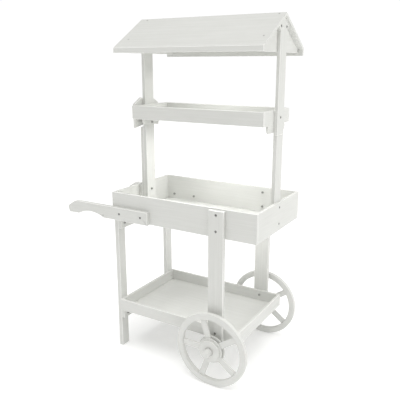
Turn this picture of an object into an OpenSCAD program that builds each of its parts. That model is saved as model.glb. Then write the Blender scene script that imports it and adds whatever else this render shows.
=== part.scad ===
// Push vending cart: a painted wooden cart with an open tray, a lower shelf, a narrow rack,
// a gable roof on two posts, two push handles, two legs and two spoked wheels on one axle.
//
// Frame: X runs along the cart from the handles to the wheels, Y from the front to the back,
// Z up. The origin is on the ground, under the middle of the whole cart.

/* [Tray] */
// Outside length of the tray
tray_len = 800; // [700:5:960]
// Outside depth of the tray, front to back
tray_dep = 488; // [400:2:600]
// Height of the tray's boards
tray_h = 137; // [120:1:170]
// Height of the tray's lower edge above the ground
tray_z = 717.5; // [620:0.5:880]

/* [Boards] */
// Thickness of the tray, shelf, rack and roof boards
board_t = 12; // [9:0.5:15]
// Thickness of the plywood floors
floor_t = 5; // [4:0.5:6]
// Depth of the rebate that holds a floor's edge
rebate = 5; // [3:0.5:6]
// Side clearance of a floor in its rebate
floor_gap = 0.4; // [0.2:0.1:0.8]

/* [Handles] */
// How far the handles reach past the tray's left end
handle_reach = 288; // [220:2:350]
// Length of the handle that lies against the tray
handle_lap = 230; // [210:2:300]
// Height of the handle
handle_h = 65; // [55:1:76]
// Thickness of the handle
handle_t = 22; // [16:1:28]
// Width of the finger arch in the underside of the handle
arch_w = 166; // [120:2:180]
// Height of the finger arch
arch_h = 20; // [12:1:24]
// Distance from the handle's tip to the start of the arch
grip_len = 74; // [60:1:90]
// Length of the slope at the handle's tip
nose_len = 54; // [30:1:70]
// Radius of the handle's tip
nose_r = 14; // [8:1:18]
// Diameter of the small hole in the handle
cord_hole_d = 6; // [4:0.5:8]

/* [Left legs] */
// Thickness of a left leg, along the cart
leg_t = 22; // [18:1:28]
// Width of a left leg, front to back
leg_w = 52; // [40:1:70]
// How far a left leg stands in from the tray's left end
leg_inset = 4; // [2:1:12]
// How far a left leg stands in from the tray's front or back face
leg_setback = 6; // [2:1:20]
// Thickness of the rails that join the left legs
rail_t = 20; // [16:1:26]
// Height of the upper rail
upper_rail_h = 52; // [40:1:70]
// Height of the lower rail
lower_rail_h = 45; // [36:1:60]

/* [Wheel legs] */
// Width of a wheel leg
wheel_leg_w = 78; // [64:1:94]
// Thickness of a wheel leg
wheel_leg_t = 20; // [16:1:26]
// How far the top of a wheel leg stays below the tray's upper edge
wheel_leg_drop = 6.5; // [2:0.5:12]

/* [Shelf] */
// How far the lower shelf stays in from the tray's right end
shelf_inset = 75; // [40:1:120]
// Height of the shelf's boards
shelf_h = 62; // [50:1:80]
// Height of the shelf's lower edge above the ground
shelf_z = 213; // [200:1:260]

/* [Posts] */
// Width of a post, front to back
post_w = 70; // [50:1:90]
// Thickness of a post
post_t = 18; // [15:0.5:22]
// Thickness of the packing between the tray's left board and the doubled left post
packing_t = 18; // [12:1:24]
// Width of the head that widens each post under the roof
head_w = 102; // [90:1:130]
// Height at which the head starts above the eaves
head_rise = 66; // [50:1:70]
// Thickness of the right post above the rack
post_top_t = 15; // [12:0.5:15]
// Height of the joint in the right post above the tray's lower edge
lap_rise = 449.5; // [400:0.5:480]

/* [Rack] */
// Height of the rack's lower edge above the tray's lower edge
rack_rise = 494.5; // [460:0.5:600]
// Outside depth of the rack, front to back
rack_dep = 290; // [220:1:360]
// Height of the rack's boards
rack_h = 64; // [50:1:80]
// Thickness of the rack's end boards
rack_end_t = 18; // [12:0.5:22]
// Width of the crest plate outside the rack's left end
crest_w = 202; // [170:1:220]
// Height of the crest plate's side edges
crest_h = 119; // [110:1:130]
// Height of the two points on top of the crest plate
crest_peak = 32; // [20:1:40]
// Height of the notch under the crest plate
crest_notch = 17; // [10:1:24]
// Width of the bracket under the rack's left end
left_bracket_w = 134; // [110:1:150]
// Width of the bracket under the rack's right end
bracket_w = 182; // [140:1:200]
// Height of both brackets
bracket_h = 35; // [28:1:40]

/* [Roof] */
// Outside depth of the roof, front to back
roof_dep = 451; // [380:1:540]
// Height of the eaves above the tray's lower edge
eave_rise = 829; // [780:0.5:980]
// Height of the ridge above the eaves
ridge_rise = 140.5; // [120:0.5:170]
// Thickness of the fascia strips
fascia_t = 10; // [8:0.5:14]
// Height of the front fascia strip
fascia_h = 23; // [18:1:28]
// Height of the back fascia strip
back_fascia_h = 36; // [18:1:40]
// How far the roof passes the right post
roof_over = 9; // [4:1:30]
// How far the roof passes the left post
roof_lip = 19; // [4:1:30]
// Gap between a gable and the fascia
gable_gap = 7.5; // [2:0.5:16]

/* [Wheels] */
// Diameter of a wheel
wheel_d = 366; // [330:2:420]
// Width of the wheel's rim, across the face
rim_w = 31; // [24:1:40]
// Thickness of the wheel's rim
rim_t = 22; // [18:1:28]
// Width of a spoke
spoke_w = 30; // [22:1:36]
// Thickness of a spoke
spoke_t = 10; // [8:0.5:12]
// Turn of the first spoke above the level
spoke_turn = 34.5; // [0:0.5:72]
// Diameter of the disc behind the spokes
hub_back_d = 136; // [110:1:150]
// Diameter of the disc on the spokes
hub_front_d = 122; // [100:1:136]
// Diameter of the outer hub disc
hub_outer_d = 104; // [84:1:116]
// Thickness of the outer hub disc
hub_outer_t = 12; // [8:0.5:16]
// Distance of the axle from the tray's right end
axle_inset = 192; // [170:1:230]

/* [Axle] */
// Diameter of the axle
axle_d = 20; // [16:1:24]
// Radial running clearance between the axle and a wheel
run_gap = 0.08; // [0.03:0.01:0.1]
// Radial clearance of the axle in the legs, spacers and caps
seat_gap = 0.05; // [0.02:0.01:0.1]
// Side play of a wheel at each face
side_gap = 0.5; // [0.3:0.1:1]
// Thickness of the spacer between a leg and its wheel
spacer_t = 21.5; // [16:0.5:28]
// Diameter of the spacer
spacer_d = 44; // [36:1:60]
// Diameter of the end cap
cap_d = 36; // [32:1:40]
// Length of the end cap outside the hub
cap_len = 34; // [26:1:40]
// Diameter of the cap's pin
pin_d = 5; // [4:0.5:6]

/* [Fasteners] */
// Diameter of a bolt's shank
bolt_d = 6; // [5:0.5:8]
// Diameter of a bolt's head
head_d = 11; // [10:0.5:13]
// Height of a bolt's head
head_h = 3; // [2:0.5:3.5]
// Depth of the recess that a bolt's head sits in
sink = 4; // [3.5:0.5:5]
// Radial clearance around bolts, screws and nails
hole_gap = 0.25; // [0.15:0.05:0.5]
// Radial clearance around a bolt's head
head_gap = 0.75; // [0.5:0.25:1.5]
// Height of a nut
nut_h = 6; // [5:0.5:8]
// Diameter of a nut
nut_d = 13; // [11:0.5:15]
// Diameter of a wood screw
screw_d = 4; // [3:0.5:5]
// Length of a wood screw
screw_len = 27; // [24:0.5:28]
// Diameter of a nail
nail_d = 2; // [1.5:0.5:2.5]
// Length of a nail
nail_len = 32; // [24:1:36]

/* [Hidden] */
$fn = 64;

// A cut runs this far past a face that it opens
past = 1;
// Steps in a rounded corner of an outline
corner_steps = 8;
paint = [0.90, 0.90, 0.88];
steel = [0.28, 0.28, 0.27];

// The tray
tray_x0 = (handle_reach - tray_len) / 2;
tray_x1 = tray_x0 + tray_len;
tray_y = tray_dep / 2;
tray_top = tray_z + tray_h;

// The left legs and their rails
leg_x = tray_x0 + leg_inset;
leg_y = tray_y - leg_setback - leg_w;
rail_x = leg_x + leg_t;
rail_y = tray_y - leg_setback;

// The shelf
shelf_x0 = rail_x;
shelf_x1 = tray_x1 - shelf_inset;

// The posts stand inside the tray's ends, on its floor
packing_x = tray_x0 + board_t;
doubler_x = packing_x + packing_t;
left_post_x = doubler_x + post_t;
right_post_x1 = tray_x1 - board_t;
right_post_x = right_post_x1 - post_t;
top_post_x = right_post_x1 - post_top_t;
post_foot = tray_z + floor_t;
packing_drop = 4;
// The right post's halved joint runs from lap_z to the top of the rack
lap_z = tray_z + lap_rise;
lap_x = right_post_x + post_t / 2;

// The rack hangs between the posts
rack_z = tray_z + rack_rise;
rack_top = rack_z + rack_h;
rack_x0 = left_post_x + post_t;
rack_x1 = right_post_x;
rack_y = rack_dep / 2;
crest_x = left_post_x - board_t;
crest_z = rack_z - 52;

// The roof
eave_z = tray_z + eave_rise;
ridge_z = eave_z + ridge_rise;
roof_y = roof_dep / 2;
roof_angle = atan(ridge_rise / roof_y);
panel_y = roof_y - fascia_t;
panel_drop = board_t / cos(roof_angle);
gable_y = panel_y - gable_gap;
gable_z = eave_z - fascia_h;
left_gable_x = left_post_x + post_t;
right_gable_x = top_post_x - board_t;
roof_x0 = left_post_x - roof_lip;
roof_x1 = right_post_x1 + roof_over;

// The wheels and the axle
wheel_r = wheel_d / 2;
axle_x = tray_x1 - axle_inset;
axle_z = wheel_r;
leg_face = tray_y + wheel_leg_t;
hub_face = leg_face + spacer_t + side_gap;
hub_back_t = (rim_t - spoke_t) / 2;
spoke_face = hub_face + hub_back_t;
hub_front_face = spoke_face + spoke_t;
hub_outer_face = hub_face + rim_t;
hub_end = hub_outer_face + hub_outer_t;
cap_end = hub_end + cap_len;
// The cap's collar sits in a recess of the outer disc
recess_gap = 3;
recess_t = 3;
cap_face = hub_end - recess_t + side_gap;
cap_wall = 6;
cap_chamfer = 4;
axle_half = cap_end - cap_wall;
pin_y = (hub_end + axle_half) / 2;

// The handle's tip: the point lies this share of the height below the top
nose_fall = 0.54;
nose_chin = 12;
nose_dip = 2;

// The places of the fasteners
handle_bolt_x = [tray_x0 + 57, tray_x0 + 188];
handle_bolt_z = tray_z + handle_h / 2 + 1;
tray_bolt_z = [tray_z + 34.5, tray_z + 110.5];
shelf_bolt_z = shelf_z + 37;
post_bolt_z = [tray_z + 32.5, tray_z + 112.5];
rack_bolt_z = rack_z + rack_h / 2;
crest_bolt_z = rack_z - 27;
roof_bolt_z = eave_z + head_rise + 17;
roof_bolt_y = post_w / 2 - 5;
head_cut = (head_w - post_w) / 2;
rail_bolt_y = leg_y + leg_w / 2;
upper_rail_z = tray_z - upper_rail_h;
lower_rail_z = shelf_z - lower_rail_h;
upper_bolt_z = upper_rail_z + upper_rail_h / 2;
lower_bolt_z = lower_rail_z + lower_rail_h / 2;
nail_rise = [0.3, 0.7];
nail_head_d = 2 * nail_d + 1;
nail_head_h = 1;
screw_head_h = 2;
floor_screw_y = tray_y / 2;
tray_floor_screw_x = rail_x + rail_t / 2;
// The screw's head just clears the shelf's left board
shelf_floor_screw_x = shelf_x0 + board_t + screw_d + hole_gap;
shelf_screw_z = shelf_z + shelf_h / 2;
bracket_screw_y = post_w / 4;
// The brackets' outline
bracket_bulge = 4;
bracket_cut = 10;
bracket_side_r = 12;
bracket_low_r = 8;
// The crest plate's two points stand this share of its half width from the middle
crest_point = 0.43;
// The dip between the points, as a share of their height
crest_dip = 0.2;
// Distances along the roof's slope, from the ridge, of the screws into the gables
roof_screw_s = [12, 0.72 * roof_y / cos(roof_angle)];
fascia_nails = 5;
fascia_nail_z = eave_z - panel_drop / 2;

// ---- Outlines ----

function unit(v) = v / norm(v);

// The points of the arc of radius r that rounds the corner b of the path a, b, c
function corner(a, b, c, r) =
    let (
        u = unit(a - b),
        w = unit(c - b),
        half = acos(u * w) / 2,
        centre = b + unit(u + w) * r / sin(half),
        from = b + u * r / tan(half) - centre,
        to = b + w * r / tan(half) - centre,
        a0 = atan2(from[1], from[0]),
        a1 = atan2(to[1], to[0]),
        turn = a1 - a0 > 180 ? a1 - a0 - 360 : a1 - a0 < -180 ? a1 - a0 + 360 : a1 - a0
    )
    [for (i = [0 : corner_steps]) let (t = a0 + turn * i / corner_steps)
        centre + r * [cos(t), sin(t)]];

// A closed outline whose corner i is rounded to radius r[i], or left sharp where r[i] is 0
function rounded(p, r) =
    let (n = len(p))
    [for (i = [0 : n - 1], q = r[i] == 0 ? [p[i]] : corner(p[(i + n - 1) % n], p[i], p[(i + 1) % n], r[i]))
        q];

// ---- Placing ----

// Stands an outline drawn in X and Z upright, from y to y + t
module upright(y, t) {
    translate([0, y + t, 0]) rotate([90, 0, 0]) linear_extrude(t) children();
}

// Stands an outline drawn in Y and Z across the cart, from x to x + t
module across(x, t) {
    translate([x, 0, 0]) rotate([90, 0, 90]) linear_extrude(t) children();
}

// Puts a child at the front for side -1, or mirrors it to the back for side 1
module at_side(side) {
    if (side > 0) mirror([0, 1, 0]) children();
    else children();
}

// Each of these puts a child on one face with its Z axis pointing out of that face
module face_front(x, y, z) { translate([x, y, z]) rotate([90, 0, 0]) children(); }
module face_right(x, y, z) { translate([x, y, z]) rotate([0, 90, 0]) children(); }
module face_left(x, y, z) { translate([x, y, z]) rotate([0, -90, 0]) children(); }
module face_under(x, y, z) { translate([x, y, z]) rotate([180, 0, 0]) children(); }

// ---- Fasteners: each is drawn with Z pointing out of the face that it enters ----

// A bolt whose head lies in its recess, through wood of thickness grip
module bolt(grip) {
    translate([0, 0, -sink]) difference() {
        union() {
            cylinder(h = head_h, d = head_d);
            translate([0, 0, sink - grip - nut_h]) cylinder(h = grip - sink + nut_h, d = bolt_d);
        }
        translate([0, 0, head_h / 2]) cylinder(h = head_h, d = head_d / 2, $fn = 6);
    }
}

// The nut on the far side of the same wood
module nut(grip) {
    translate([0, 0, -grip - nut_h]) difference() {
        union() {
            cylinder(h = nut_h, d = nut_d * 0.78);
            translate([0, 0, nut_h * 0.7]) cylinder(h = nut_h * 0.3, d = nut_d);
        }
        translate([0, 0, -past]) cylinder(h = nut_h + 2 * past, d = bolt_d + 2 * seat_gap);
    }
}

// The hole for a bolt and the recess for its head
module bolt_hole(grip) {
    translate([0, 0, -grip - past]) cylinder(h = grip + 2 * past, d = bolt_d + 2 * hole_gap);
    translate([0, 0, -sink]) cylinder(h = sink + past, d = head_d + 2 * head_gap);
}

// A countersunk wood screw, flush with the face
module screw() {
    rotate_extrude() polygon([
        [0, 0], [screw_d, 0], [screw_d / 2, -screw_head_h], [screw_d / 2, screw_d - screw_len],
        [0, -screw_len]
    ]);
}

// The pilot hole and countersink for a wood screw
module screw_hole() {
    rotate_extrude() polygon([
        [0, past], [screw_d + hole_gap, past], [screw_d + hole_gap, 0],
        [screw_d / 2 + hole_gap, -screw_head_h], [screw_d / 2 + hole_gap, -screw_len - hole_gap],
        [0, -screw_len - hole_gap]
    ]);
}

// A flat-headed nail, its head flush with the face
module nail() {
    translate([0, 0, -nail_len]) cylinder(h = nail_len - nail_head_h, d = nail_d);
    translate([0, 0, -nail_head_h]) cylinder(h = nail_head_h, d = nail_head_d);
}

// The hole for a nail
module nail_hole() {
    translate([0, 0, -nail_len - hole_gap]) cylinder(h = nail_len + past, d = nail_d + 2 * hole_gap);
    translate([0, 0, -nail_head_h]) cylinder(h = nail_head_h + past, d = nail_head_d + 2 * hole_gap);
}

// ---- Patterns: the same places serve the fasteners and the holes for them ----

// The nails through one long board into the ends of two end boards of thickness end_t,
// for a box from x0 to x1 whose long board's outer face is at -y
module corner_nails(x0, x1, y, z, h, end_t) {
    for (x = [x0 + end_t / 2, x1 - end_t / 2], k = nail_rise) face_front(x, -y, z + k * h) children();
}

module tray_nails() { corner_nails(tray_x0, tray_x1, tray_y, tray_z, tray_h, board_t) children(); }
module shelf_nails() { corner_nails(shelf_x0, shelf_x1, tray_y, shelf_z, shelf_h, board_t) children(); }
module rack_nails() { corner_nails(rack_x0, rack_x1, rack_y, rack_z, rack_h, rack_end_t) children(); }

// The nails through a fascia strip into the edge of its roof panel
module fascia_nail_row() {
    step = (roof_x1 - roof_x0) / fascia_nails;
    for (i = [0 : fascia_nails - 1])
        face_front(roof_x0 + step * (i + 0.5), -roof_y, fascia_nail_z) children();
}

// The screws through one roof panel into both gables
module roof_screw_places() {
    for (x = [left_gable_x + board_t / 2, right_gable_x + board_t / 2], s = roof_screw_s)
        translate([x, -s * cos(roof_angle), ridge_z - s * sin(roof_angle)])
            rotate([roof_angle, 0, 0]) children();
}

// The bolts through one handle and the tray's front board
module handle_bolt_places() {
    for (x = handle_bolt_x) face_front(x, -tray_y - handle_t, handle_bolt_z) children();
}

// The bolts through one wheel leg into the tray, and into the shelf
module leg_tray_bolt_places() {
    for (z = tray_bolt_z) face_front(axle_x, -leg_face, z) children();
}
module leg_shelf_bolt_place() { face_front(axle_x, -leg_face, shelf_bolt_z) children(); }

// The bolts through one left leg into the upper and the lower rail
module rail_bolt_places() {
    for (z = [upper_bolt_z, lower_bolt_z]) face_left(leg_x, -rail_bolt_y, z) children();
}

// The bolts through the tray's right end into the right post
module right_post_bolt_places() { for (z = post_bolt_z) face_right(tray_x1, 0, z) children(); }

// The bolts through the tray's left end and the built-up left post
module left_post_bolt_places() { for (z = post_bolt_z) face_left(tray_x0, 0, z) children(); }

// The bolt through the crest plate and the left post below the rack, and the one into the rack
module crest_bolt_place() { face_left(crest_x, 0, crest_bolt_z) children(); }
module left_rack_bolt_place() { face_left(crest_x, 0, rack_bolt_z) children(); }
module rack_bolt_place() { face_right(right_post_x1, 0, rack_bolt_z) children(); }

// The bolts through the heads of the posts into the gables
module left_roof_bolt_places() {
    for (s = [-1, 1]) face_left(left_post_x, s * roof_bolt_y, roof_bolt_z) children();
}
module right_roof_bolt_places() {
    for (s = [-1, 1]) face_right(right_post_x1, s * roof_bolt_y, roof_bolt_z) children();
}

// The screws down through a floor into the rail under it
module floor_screw_places(x, z) {
    for (s = [-1, 1]) translate([x, s * floor_screw_y, z + floor_t]) children();
}

// The screws from inside the shelf's left board into the legs
module shelf_screw_places() {
    for (s = [-1, 1]) face_right(shelf_x0 + board_t, s * rail_bolt_y, shelf_screw_z) children();
}

// The screws from the inner face of the rack's bracket into the right post
module bracket_screw_places() {
    for (s = [-1, 1])
        face_left(right_post_x - board_t, s * bracket_screw_y, rack_z - bracket_h / 2) children();
}

// The lengths of wood that the bolts hold
handle_grip = handle_t + board_t;
wheel_leg_grip = wheel_leg_t + board_t;
rail_grip = leg_t + rail_t;
left_post_grip = board_t + packing_t + 2 * post_t;
crest_grip = 2 * board_t + post_t;
left_rack_grip = board_t + post_t + rack_end_t;
right_post_grip = board_t + post_t;
rack_grip = post_t + rack_end_t;
left_roof_grip = board_t + post_t;
right_roof_grip = board_t + post_top_t;

// ---- Open boxes: the tray, the shelf and the rack are made alike ----

// A long board at -y, its lower inner edge rebated for the floor
module long_board(x0, x1, y, z, h, end_t) {
    difference() {
        translate([x0, -y, z]) cube([x1 - x0, board_t, h]);
        translate([x0 + end_t - rebate, -y + board_t - rebate, z - past])
            cube([x1 - x0 - 2 * (end_t - rebate), rebate + past, floor_t + past]);
    }
}

// An end board from x to x + t between the long boards, rebated on its inner side
module end_board(x, t, y, z, h, inner) {
    width = 2 * (y - board_t);
    difference() {
        translate([x, -width / 2, z]) cube([t, width, h]);
        translate([inner > 0 ? x + t - rebate : x - past, -width / 2 - past, z - past])
            cube([rebate + past, width + 2 * past, floor_t + past]);
    }
}

// A floor whose edges lie in the rebates
module floor_panel(x0, x1, y, z, end_t) {
    edge = rebate - floor_gap;
    translate([x0 + end_t - edge, board_t - edge - y, z])
        cube([x1 - x0 - 2 * (end_t - edge), 2 * (y - board_t + edge), floor_t]);
}

// ---- Tray ----

module tray_long_board() {
    difference() {
        long_board(tray_x0, tray_x1, tray_y, tray_z, tray_h, board_t);
        tray_nails() nail_hole();
        handle_bolt_places() bolt_hole(handle_grip);
        leg_tray_bolt_places() bolt_hole(wheel_leg_grip);
    }
}

module tray_front_board() { color(paint) tray_long_board(); }
module tray_back_board() { color(paint) at_side(1) tray_long_board(); }

module tray_left_board() {
    color(paint) difference() {
        end_board(tray_x0, board_t, tray_y, tray_z, tray_h, 1);
        both_sides() tray_nails() nail_hole();
        left_post_bolt_places() bolt_hole(left_post_grip);
    }
}

module tray_right_board() {
    color(paint) difference() {
        end_board(tray_x1 - board_t, board_t, tray_y, tray_z, tray_h, -1);
        both_sides() tray_nails() nail_hole();
        right_post_bolt_places() bolt_hole(right_post_grip);
    }
}

module tray_floor() {
    color(paint) difference() {
        floor_panel(tray_x0, tray_x1, tray_y, tray_z, board_t);
        floor_screw_places(tray_floor_screw_x, tray_z) screw_hole();
    }
}

module both_sides() {
    for (s = [-1, 1]) at_side(s) children();
}

// ---- Handles ----

module handle_outline() {
    tip = tray_x0 - handle_reach;
    end = tray_x0 + handle_lap;
    low = tray_z;
    high = tray_z + handle_h;
    brow = [tip + nose_len, high];
    chin = [tip + nose_chin, low - nose_dip];
    point = [tip, high - nose_fall * handle_h];
    // The rounded nose starts this far inside its sharp corner, so the corner is set out by it
    set_out = nose_r * (unit(unit(brow - point) + unit(chin - point))[0]
        / sin(acos(unit(brow - point) * unit(chin - point)) / 2) - 1);
    arch_r = (arch_w * arch_w / 4 + arch_h * arch_h) / (2 * arch_h);
    difference() {
        polygon(rounded(
            [[end, low], [end, high], brow - [set_out, 0], point - [set_out, 0], chin - [set_out, 0],
                [tip + grip_len - 6, low]],
            [2, 2, 40, nose_r, 12, 20]
        ));
        translate([tip + grip_len + arch_w / 2, low + arch_h - arch_r]) circle(r = arch_r, $fn = 180);
        translate([tip + grip_len + arch_w, low + arch_h - 7]) circle(d = cord_hole_d);
    }
}

module handle() {
    difference() {
        upright(-tray_y - handle_t, handle_t) handle_outline();
        handle_bolt_places() bolt_hole(handle_grip);
    }
}

module front_handle() { color(paint) handle(); }
module back_handle() { color(paint) at_side(1) handle(); }

// ---- Left legs ----

module left_leg() {
    difference() {
        translate([leg_x, -leg_y - leg_w, 0]) cube([leg_t, leg_w, tray_z]);
        rail_bolt_places() bolt_hole(rail_grip);
        shelf_screw_places() screw_hole();
    }
}

module left_front_leg() { color(paint) left_leg(); }
module left_back_leg() { color(paint) at_side(1) left_leg(); }

module rail(z, h, screw_x, screw_z) {
    difference() {
        translate([rail_x, -rail_y, z]) cube([rail_t, 2 * rail_y, h]);
        both_sides() rail_bolt_places() bolt_hole(rail_grip);
        floor_screw_places(screw_x, screw_z) screw_hole();
    }
}

module upper_rail() { color(paint) rail(upper_rail_z, upper_rail_h, tray_floor_screw_x, tray_z); }
module lower_rail() { color(paint) rail(lower_rail_z, lower_rail_h, shelf_floor_screw_x, shelf_z); }

// ---- Wheel legs ----

module wheel_leg() {
    top = tray_top - wheel_leg_drop;
    difference() {
        upright(-leg_face, wheel_leg_t) union() {
            translate([axle_x - wheel_leg_w / 2, axle_z]) square([wheel_leg_w, top - axle_z]);
            translate([axle_x, axle_z]) circle(d = wheel_leg_w);
        }
        leg_tray_bolt_places() bolt_hole(wheel_leg_grip);
        leg_shelf_bolt_place() bolt_hole(wheel_leg_grip);
        axle_bore(leg_face + past, wheel_leg_t + 2 * past, seat_gap);
    }
}

module front_wheel_leg() { color(paint) wheel_leg(); }
module back_wheel_leg() { color(paint) at_side(1) wheel_leg(); }

// ---- Shelf ----

module shelf_long_board() {
    difference() {
        long_board(shelf_x0, shelf_x1, tray_y, shelf_z, shelf_h, board_t);
        shelf_nails() nail_hole();
        leg_shelf_bolt_place() bolt_hole(wheel_leg_grip);
    }
}

module shelf_front_board() { color(paint) shelf_long_board(); }
module shelf_back_board() { color(paint) at_side(1) shelf_long_board(); }

module shelf_left_board() {
    color(paint) difference() {
        end_board(shelf_x0, board_t, tray_y, shelf_z, shelf_h, 1);
        both_sides() shelf_nails() nail_hole();
        shelf_screw_places() screw_hole();
    }
}

module shelf_right_board() {
    color(paint) difference() {
        end_board(shelf_x1 - board_t, board_t, tray_y, shelf_z, shelf_h, -1);
        both_sides() shelf_nails() nail_hole();
    }
}

module shelf_floor() {
    color(paint) difference() {
        floor_panel(shelf_x0, shelf_x1, tray_y, shelf_z, board_t);
        floor_screw_places(shelf_floor_screw_x, shelf_z) screw_hole();
    }
}

// ---- Posts ----

// A post from z to the underside of the roof, its top cut to both slopes
module roofed_post(x, t, z) {
    half = post_w / 2;
    wide = head_w / 2;
    peak = ridge_z - panel_drop;
    shoulder = peak - wide * tan(roof_angle);
    low = eave_z + head_rise;
    across(x, t) polygon([
        [-half, z], [half, z], [half, low], [wide, low + head_cut], [wide, shoulder], [0, peak],
        [-wide, shoulder], [-wide, low + head_cut], [-half, low]
    ]);
}

// A plain length of post
module post_block(x, t, z0, z1) {
    translate([x, -post_w / 2, z0]) cube([t, post_w, z1 - z0]);
}

module left_post() {
    color(paint) difference() {
        roofed_post(left_post_x, post_t, post_foot);
        left_post_bolt_places() bolt_hole(left_post_grip);
        crest_bolt_place() bolt_hole(crest_grip);
        left_rack_bolt_place() bolt_hole(left_rack_grip);
        left_roof_bolt_places() bolt_hole(left_roof_grip);
    }
}

// The doubler runs beside the left post up to the notch of the crest plate
module left_post_doubler() {
    color(paint) difference() {
        post_block(doubler_x, post_t, post_foot, crest_z);
        left_post_bolt_places() bolt_hole(left_post_grip);
    }
}

// The packing piece fills the space between the tray's left board and the doubler
module left_post_packing() {
    color(paint) difference() {
        post_block(packing_x, packing_t, post_foot, tray_top - packing_drop);
        left_post_bolt_places() bolt_hole(left_post_grip);
    }
}

module right_post_lower() {
    color(paint) difference() {
        union() {
            post_block(right_post_x, post_t, post_foot, lap_z);
            post_block(right_post_x, post_t / 2, lap_z, rack_top);
        }
        right_post_bolt_places() bolt_hole(right_post_grip);
        rack_bolt_place() bolt_hole(rack_grip);
        bracket_screw_places() screw_hole();
    }
}

module right_post_upper() {
    color(paint) difference() {
        union() {
            post_block(lap_x, post_t / 2, lap_z, rack_top + past);
            roofed_post(top_post_x, post_top_t, rack_top);
        }
        rack_bolt_place() bolt_hole(rack_grip);
        right_roof_bolt_places() bolt_hole(right_roof_grip);
        bracket_screw_places() screw_hole();
    }
}

// ---- Rack ----

module rack_long_board() {
    difference() {
        long_board(rack_x0, rack_x1, rack_y, rack_z, rack_h, rack_end_t);
        rack_nails() nail_hole();
    }
}

module rack_front_board() { color(paint) rack_long_board(); }
module rack_back_board() { color(paint) at_side(1) rack_long_board(); }

module rack_left_end() {
    color(paint) difference() {
        end_board(rack_x0, rack_end_t, rack_y, rack_z, rack_h, 1);
        both_sides() rack_nails() nail_hole();
        left_rack_bolt_place() bolt_hole(left_rack_grip);
    }
}

module rack_right_end() {
    color(paint) difference() {
        end_board(rack_x1 - rack_end_t, rack_end_t, rack_y, rack_z, rack_h, -1);
        both_sides() rack_nails() nail_hole();
        rack_bolt_place() bolt_hole(rack_grip);
    }
}

module rack_floor() { color(paint) floor_panel(rack_x0, rack_x1, rack_y, rack_z, rack_end_t); }

// The plate stands outside the left post, in line with the rack's end
module rack_crest_plate() {
    half = crest_w / 2;
    top = crest_z + crest_h;
    point = half * crest_point;
    color(paint) difference() {
        across(crest_x, board_t) polygon(rounded(
            [[-half, crest_z], [0, crest_z + crest_notch], [half, crest_z], [half, top],
                [point, top + crest_peak], [0, top + crest_dip * crest_peak], [-point, top + crest_peak],
                [-half, top]],
            [3, 0, 3, 6, 5, 12, 5, 6]
        ));
        crest_bolt_place() bolt_hole(crest_grip);
        left_rack_bolt_place() bolt_hole(left_rack_grip);
    }
}

// A bracket of width w on the face of a post, with sides that bulge and lower corners cut back
module bracket(x, w) {
    half = w / 2;
    low = rack_z - bracket_h;
    middle = rack_z - bracket_h / 2;
    across(x, board_t) polygon(rounded(
        [[-half, rack_z], [-half - bracket_bulge, middle], [-half + bracket_cut, low],
            [half - bracket_cut, low], [half + bracket_bulge, middle], [half, rack_z]],
        [0, bracket_side_r, bracket_low_r, bracket_low_r, bracket_side_r, 0]
    ));
}

// The left bracket hangs on the crest plate's bolt, the right one on two screws
module rack_bracket() {
    color(paint) difference() {
        union() {
            bracket(left_post_x + post_t, left_bracket_w);
            bracket(right_post_x - board_t, bracket_w);
        }
        crest_bolt_place() bolt_hole(crest_grip);
        bracket_screw_places() screw_hole();
    }
}

// ---- Roof ----

module roof_panel() {
    eave = ridge_z - panel_y * tan(roof_angle);
    difference() {
        across(roof_x0, roof_x1 - roof_x0) polygon([
            [0, ridge_z], [0, ridge_z - panel_drop], [-panel_y, eave - panel_drop], [-panel_y, eave]
        ]);
        roof_screw_places() screw_hole();
        fascia_nail_row() nail_hole();
    }
}

module roof_front_panel() { color(paint) roof_panel(); }
module roof_back_panel() { color(paint) at_side(1) roof_panel(); }

module roof_fascia(h) {
    difference() {
        across(roof_x0, roof_x1 - roof_x0) polygon([
            [-roof_y, eave_z - h], [-panel_y, eave_z - h],
            [-panel_y, ridge_z - panel_y * tan(roof_angle)], [-roof_y, eave_z]
        ]);
        fascia_nail_row() nail_hole();
    }
}

module roof_front_fascia() { color(paint) roof_fascia(fascia_h); }
module roof_back_fascia() { color(paint) at_side(1) roof_fascia(back_fascia_h); }

module gable(x) {
    peak = ridge_z - panel_drop;
    side = peak - gable_y * tan(roof_angle);
    across(x, board_t) polygon([
        [-gable_y, gable_z], [gable_y, gable_z], [gable_y, side], [0, peak], [-gable_y, side]
    ]);
}

module left_gable() {
    color(paint) difference() {
        gable(left_gable_x);
        both_sides() roof_screw_places() screw_hole();
        left_roof_bolt_places() bolt_hole(left_roof_grip);
    }
}

module right_gable() {
    color(paint) difference() {
        gable(right_gable_x);
        both_sides() roof_screw_places() screw_hole();
        right_roof_bolt_places() bolt_hole(right_roof_grip);
    }
}

// ---- Axle ----

// A cylinder round the axle, from its face at -y inwards for length t
module axle_round(y, t, d) {
    translate([axle_x, -y, axle_z]) rotate([-90, 0, 0]) cylinder(h = t, d = d, $fn = 96);
}

module axle_bore(y, t, gap) { axle_round(y, t, axle_d + 2 * gap); }

module cap_pin_bore(gap) {
    translate([axle_x, -pin_y, axle_z - cap_d / 2 - past])
        cylinder(h = cap_d + 2 * past, d = pin_d + 2 * gap);
}

module axle() {
    color(paint) difference() {
        axle_round(axle_half, 2 * axle_half, axle_d);
        both_sides() cap_pin_bore(seat_gap);
    }
}

module axle_spacers() {
    color(paint) both_sides() difference() {
        axle_round(leg_face + spacer_t, spacer_t, spacer_d);
        axle_bore(leg_face + spacer_t + past, spacer_t + 2 * past, seat_gap);
    }
}

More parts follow.
